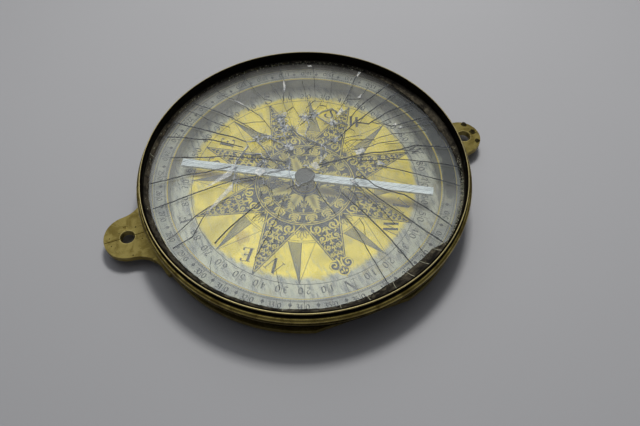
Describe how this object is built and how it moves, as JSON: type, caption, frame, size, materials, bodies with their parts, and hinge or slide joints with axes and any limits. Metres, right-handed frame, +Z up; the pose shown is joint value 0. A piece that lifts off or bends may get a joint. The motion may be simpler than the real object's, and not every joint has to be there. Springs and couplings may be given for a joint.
{
  "type": "fixed-dial box compass with mounting lugs",
  "caption": "Round brass box compass: raised degree ring, engraved rose dial, pivoted steel needle under cracked glass, and a flat drilled lug on each side.",
  "frame": {"origin": "centre of the boss's flat underside, on the compass's axis, where the part stands", "axes": "+Z up along the pivot's axis, +X and -X through the two lug holes, the dial's north point towards -Y"},
  "size_m": [0.1765, 0.1436, 0.0209],
  "materials": {
    "brass": "old lacquered brass, dull gold with darker tarnish and small pits",
    "gilt_dial": "engraved dial: gilt star field with a dark ground, silvered outer zone, worn and stained",
    "silvered": "matt silvered brass with black engraved divisions and a worn gold inner edge",
    "glass": "clear flat glass, badly cracked",
    "putty": "old dark brown putty, cracked across",
    "steel": "bright steel, brushed along its length",
    "agate": "polished brown agate"
  },
  "bodies": {
    "case": {"base_plate": "brass", "lug_plugs": "brass", "base_boss": "brass", "boss_screws": "brass", "case_ring": "brass", "dial_plate": "gilt_dial", "degree_ring": "silvered", "ring_screws": "brass", "glass_pane": "glass", "glass_putty": "putty", "pivot_post": "brass", "pivot_pin": "steel"},
    "needle": {"needle_bar": "steel", "needle_cap": "steel", "cap_collar": "brass", "cap_jewel": "agate"}
  },
  "joints": [
    {"name": "needle_swing", "type": "hinge", "parent": "case", "child": "needle", "pos_m": [0, 0, 0.0114], "axis": [0, 0, 1], "continuous": true}
  ]
}
